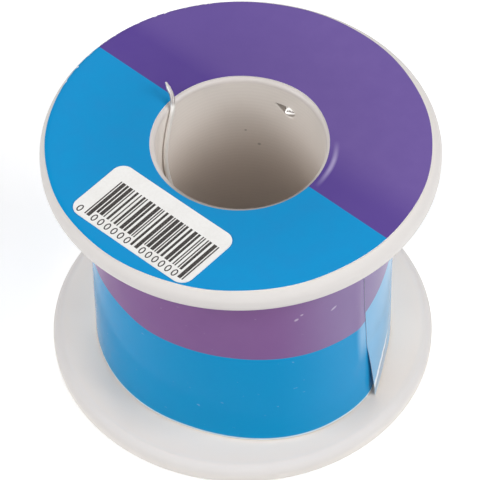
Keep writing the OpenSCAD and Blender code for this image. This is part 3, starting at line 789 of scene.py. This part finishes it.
def filmRings():
    # s is the bearing along the film and z its height. Radius = winding radius + one ply over the lap + a
    # bulge at the front right that grows downwards + a low ridge beside the free edge + the lifted lower
    # corner of the free end + the little by which the ply under it follows - the tuck of its foot below a
    # crease + a faint wave. The grid is finer at both ends of the film, and its rows crowd towards the
    # foot.
    low, high, free = film["low"], film["high"], film["free"]
    spans = ((0, 26, 66), (26, 330, 240), (330, 360 + film["lap"], 130))
    s = np.concatenate([[0.0], *[np.linspace(start, end, count)[1:] for start, end, count in spans]]) + free
    z = low + (high - low) * np.linspace(0, 1, film["rows"]) ** film["crowd"]
    s, z = np.meshgrid(s, z, indexing="ij")
    past = s - free
    lean = film["slip"] * np.clip((film["slipTop"] - z) / (film["slipTop"] - film["slipLow"]), 0, 1)
    s = s + lean * np.exp(-past / film["slipFall"])  # the free edge leans back towards its foot
    turned = (s + 180) % 360 - 180
    fall = np.clip((film["liftTop"] - z) / (film["liftTop"] - low), 0, 1) ** film["liftCurve"]
    down = (high - z) / (high - low)
    under = smoothStep(past - film["lap"], film["plyFrom"], film["plyTo"])
    ply = (film["thick"] + film["plyGap"]) * (1 - under)
    hump = np.where(turned < film["bulgeTo"], smoothStep(turned, film["bulgeFrom"], film["bulgeFull"]),
                    np.exp(-(np.clip(turned - film["bulgeTo"], 0, None) / film["bulgeFall"]) ** 2))
    bulge = film["bulge"] * hump * (film["bulgeTop"] + (1 - film["bulgeTop"]) * down ** film["bulgeCurve"])
    ridge = film["ridge"] * np.exp(-((past - film["ridgeAt"]) / film["ridgeWide"]) ** 2)
    ridge = ridge * smoothStep(z, film["ridgeLow"], film["ridgeHigh"])
    lift = film["lift"] * fall * np.exp(-past / film["liftFall"])
    follow = film["follow"] * fall * np.exp(-((past - film["followAt"]) / film["followWide"]) ** 2)
    crease = film["creaseLow"] + film["creaseSlope"] * np.radians(past) * film["radius"]
    tuck = film["tuck"] * smoothStep(crease - z, 0, film["tuckDeep"])
    tuck = tuck * (1 - smoothStep(past, film["tuckFrom"], film["tuckTo"]))
    wave = film["wave"] * np.sin(np.radians(turned * film["waveRound"])) * np.sin(z * film["waveUp"])
    r = film["radius"] + ply + bulge + ridge + lift + follow - tuck + wave
    a = np.radians(s)
    outside = np.stack([r * np.cos(a), r * np.sin(a), z], -1)
    inside = np.stack([(r - film["thick"]) * np.cos(a), (r - film["thick"]) * np.sin(a), z], -1)
    knots = smoothPath(np.array([(*knot, 0) for knot in film["border"]], float), film["borderSpan"])
    lay = np.stack([np.radians(past) * film["radius"], z - np.interp(s, knots[:, 0], knots[:, 1])], -1)
    return np.concatenate([outside, inside[:, ::-1]], 1), np.concatenate([lay, lay[:, ::-1]], 1)


# its lay: mm along the film from its free edge and mm above the border of the two bands
rings, lay = filmRings()
lay = np.concatenate([lay, lay[-1:]])
lay = np.concatenate([lay, lay[:, :1]], 1)
printed = np.arange(2 * film["rows"]) < film["rows"] - 1
filmPiece = sweep("wrapFilm", rings, uv=lay, slots=np.where(printed, 0, 1), sharp=film["sharp"])

# Polypropylene film, flexo printed: thin glossy sleeve in two bands, dull where it was rubbed, with the turns
# of wire under it just showing in its shine
filmPrint, tree, socket = newMaterial("filmPrinted", IOR=1.5, Specular_IOR_Level=0.06, Sheen_Weight=0.05,
                                      Sheen_Roughness=0.3)
place = addNode(tree, "TexCoord")["Object"]
height = addNode(tree, "SeparateXYZ", {0: place})["Z"]
lay = addNode(tree, "UVMap", uv_map="lay")[0]
along, above, _ = addNode(tree, "SeparateXYZ", {0: lay})
band = addNode(tree, "MapRange", {0: above, 1: -0.08, 2: 0.08}, **eased)[0]
# 3.5 mm rubbed patches, and flecks of about 1 mm
rub = addNode(tree, "TexNoise", {"Vector": place, "Scale": 1 / (3.5 * mm), "Detail": 5.0})[0]
violet = addNode(tree, "Mix", {0: rub, 6: linear("#835c93"), 7: linear("#896398")}, **colours)[2]
blue = addNode(tree, "Mix", {0: rub, 6: linear("#0093ce"), 7: linear("#0297d1")}, **colours)[2]
ink = addNode(tree, "Mix", {0: band, 6: blue, 7: violet}, **colours)[2]
flecks = addNode(tree, "Mapping", {0: lay, "Scale": (0.9, 1.6, 1)})[0]
flecks = addNode(tree, "TexNoise", {"Vector": flecks, "Scale": 1.0, "Detail": 5.0})[0]
scuffed = addNode(tree, "MapRange", {0: flecks, 1: 0.7, 2: 0.76, 3: 0.0, 4: 0.3})[0]
ink = addNode(tree, "Mix", {0: scuffed, 6: ink, 7: linear("#cfd6e6")}, **colours)[2]
# short pale scuffs on the violet band: mm along the film, mm above the border, half length and half width
scuffs = ((110.9, 6.9, 0.34, 0.2), (111.6, 7.6, 0.24, 0.14), (116.0, 6.8, 0.52, 0.17))
for start, lifted, half, wide in scuffs:
    laid = {"Location": (start, lifted, 0), "Rotation": (0, 0, np.radians(30)), "Scale": (half, wide, 1)}
    scuff = addNode(tree, "Mapping", {0: lay, **laid}, vector_type="TEXTURE")[0]
    away = addNode(tree, "VectorMath", {0: scuff}, operation="LENGTH")["Value"]
    pale = addNode(tree, "MapRange", {0: away, 1: 1.2, 2: 0.5, 3: 0.0, 4: 0.5}, **eased)[0]
    ink = addNode(tree, "Mix", {0: pale, 6: ink, 7: linear("#e6daea")}, **colours)[2]
# painted sheen: the free end is lightened as if hazy with reflected light, and a narrow strip beside its edge
# is a painted highlight, most on the blue
freeEndSheen = addNode(tree, "MapRange", {0: along, 1: 9.0, 2: 17.0, 3: 0.42, 4: 0.0}, **eased)[0]
strip = addNode(tree, "MapRange", {0: along, 1: 119.2, 2: 120.8, 3: 0.0, 4: 0.4}, **eased)[0]
upper = addNode(tree, "MapRange", {0: height, 1: 9.5 * mm, 2: 16 * mm}, **eased)[0]
strip = addNode(tree, "Math", {0: strip, 1: upper}, **times)[0]
paintedFilmSheen = addNode(tree, "Math", {0: freeEndSheen, 1: strip}, operation="MAXIMUM")[0]
onBlue = addNode(tree, "MapRange", {0: band, 3: 1.0, 4: 0.4})[0]
paintedFilmSheen = addNode(tree, "Math", {0: paintedFilmSheen, 1: onBlue}, **times)[0]
# painted glare: what leads up to it is lightened, most on the violet
seamGlare = addNode(tree, "MapRange", {0: along, 1: 107.0, 2: 119.0, 3: 0.0, 4: 0.13}, **eased)[0]
onViolet = addNode(tree, "MapRange", {0: band, 3: 0.25, 4: 1.0})[0]
seamGlare = addNode(tree, "Math", {0: seamGlare, 1: onViolet}, **times)[0]
paintedFilmSheen = addNode(tree, "Math", {0: paintedFilmSheen, 1: seamGlare}, operation="MAXIMUM")[0]
ink = addNode(tree, "Mix", {0: paintedFilmSheen, 6: ink, 7: linear("#c6e6fb")}, **colours)[2]
# the crease above the free end's foot is a painted highlight, ragged over 1.2 mm, and the foot below it has
# painted shade where it turns in
ragged = addNode(tree, "TexNoise", {"Vector": place, "Scale": 1 / (1.2 * mm), "Detail": 3.0})[0]
level = {0: along, 1: -film["creaseSlope"] * mm, 2: height}
level = addNode(tree, "Math", level, operation="MULTIPLY_ADD")[0]
level = addNode(tree, "Math", {0: ragged, 1: 1.4 * mm, 2: level}, operation="MULTIPLY_ADD")[0]
line = (film["creaseLow"] + 0.8) * mm
nearEnd = addNode(tree, "MapRange", {0: along, 1: 5.5, 2: 8.5, 3: 1.0, 4: 0.0}, **eased)[0]
footShade = addNode(tree, "MapRange", {0: level, 1: line, 2: line - 0.4 * mm, 3: 0.0, 4: 0.7}, **eased)[0]
off = apart(tree, level, line + 0.1 * mm)
creaseHighlight = addNode(tree, "MapRange", {0: off, 1: 0.62 * mm, 2: 0.28 * mm, 3: 0.0, 4: 0.92}, **eased)[0]
for share, tone in ((footShade, "#a9b6c8"), (creaseHighlight, "#eef6fd")):
    share = addNode(tree, "Math", {0: share, 1: nearEnd}, **times)[0]
    ink = addNode(tree, "Mix", {0: share, 6: ink, 7: linear(tone)}, **colours)[2]
# an unprinted margin along the foot
margin = {0: height, 1: (film["low"] + 0.34) * mm, 2: (film["low"] + 0.2) * mm}
margin = addNode(tree, "MapRange", margin)[0]
ink = addNode(tree, "Mix", {0: margin, 6: ink, 7: linear("#d9ecf6")}, **colours)[2]
tree.links.new(ink, socket["Base Color"])
rough = addNode(tree, "MapRange", {0: rub, 1: 0.3, 2: 0.75, 3: 0.1, 4: 0.2})[0]
tree.links.new(rough, socket["Roughness"])
turns = addNode(tree, "TexWave", {"Vector": place, "Scale": wireBands, "Distortion": 0.6},
                bands_direction="Z")[1]
bump = addNode(tree, "Bump", {"Strength": 0.06, "Distance": 0.02 * mm, "Height": turns})[0]
bump = addNode(tree, "Bump", {"Strength": 0.12, "Distance": 0.05 * mm, "Height": rub, "Normal": bump})[0]
tree.links.new(bump, socket["Normal"])

# Film back: the same sheet unprinted, smooth and milky, with a 2 mm haze
filmBack, tree, socket = newMaterial("filmUnprinted", IOR=1.5, Roughness=0.35)
place = addNode(tree, "TexCoord")["Object"]
haze = addNode(tree, "TexNoise", {"Vector": place, "Scale": 1 / (2 * mm), "Detail": 2.0})[0]
milk = addNode(tree, "Mix", {0: haze, 6: linear("#e6eef4"), 7: linear("#cfdde8")}, **colours)[2]
tree.links.new(milk, socket["Base Color"])
dress(filmPiece, "wrap_film", [filmPrint, filmBack], "wrap_label")
print("film:", len(filmPiece.data.polygons), "faces")

# Studio: pale floor, white surround and five large soft lamps a metre away. Each has its bearing and
# elevation in degrees, its power in W and its width in m. whiten is how far the floor is lit up where it is
# looked at, and surround the strength of the light that comes from all round.
studio = {
    "floor": 4.0, "surround": 0.08, "whiten": 0.41,
    "lamps": {
        "rightLamp": (-20, 35, 4.7, 0.5), "frontLamp": (-50, 45, 1.85, 0.5), "sideLamp": (-110, 45, 1.0, 0.5),
        "leftLamp": (-160, 35, 4.7, 0.5), "backLamp": (90, 45, 2.3, 0.5),
    },
}


def shownTo(tree):
    # 1 for rays from the camera, from a mirror or through glass, 0 for the rays that light the object
    path = addNode(tree, "LightPath")
    seen = addNode(tree, "Math", {0: path["Is Camera Ray"], 1: path["Is Glossy Ray"]}, operation="MAXIMUM")[0]
    return addNode(tree, "Math", {0: seen, 1: path["Is Transmission Ray"]}, operation="MAXIMUM")[0]


side = studio["floor"] / 2
floorMesh = bpy.data.meshes.new("floor")
corners = [(-side, -side, 0), (side, -side, 0), (side, side, 0), (-side, side, 0)]
floorMesh.from_pydata(corners, [], [(0, 1, 2, 3)])
floor = bpy.data.objects.new("floor", floorMesh)
bpy.context.scene.collection.objects.link(floor)
# Backdrop paper: matt white, and lit up towards white where the camera looks at it
backdrop, tree, socket = newMaterial("backdropPaper", Roughness=0.9)
socket["Base Color"].default_value = linear("#f0f0f0")
socket["Emission Color"].default_value = (1, 1, 1, 1)
glow = addNode(tree, "Math", {0: shownTo(tree), 1: studio["whiten"]}, **times)[0]
tree.links.new(glow, socket["Emission Strength"])
floorMesh.materials.append(backdrop)
world = bpy.data.worlds.new("surround")
bpy.context.scene.world = world
world.use_nodes = True
background = world.node_tree.nodes["Background"].inputs
background["Color"].default_value = (1, 1, 1, 1)
glow = {0: shownTo(world.node_tree), 3: studio["surround"], 4: 1.0}
world.node_tree.links.new(addNode(world.node_tree, "MapRange", glow)[0], background["Strength"])
for name, (bearing, elevation, power, width) in studio["lamps"].items():
    lamp = bpy.data.objects.new(name, bpy.data.lights.new(name, "AREA"))
    lamp.data.energy, lamp.data.size = power, width
    az, el = np.radians([bearing, elevation])
    # out of the object, 1 m long
    away = np.array([np.cos(el) * np.cos(az), np.cos(el) * np.sin(az), np.sin(el)])
    across = unit(np.cross([0, 0, 1], away))
    standAt(lamp, across, np.cross(away, across), away, away)
bpy.context.scene.view_settings.view_transform = "Standard"
print("studio lit")
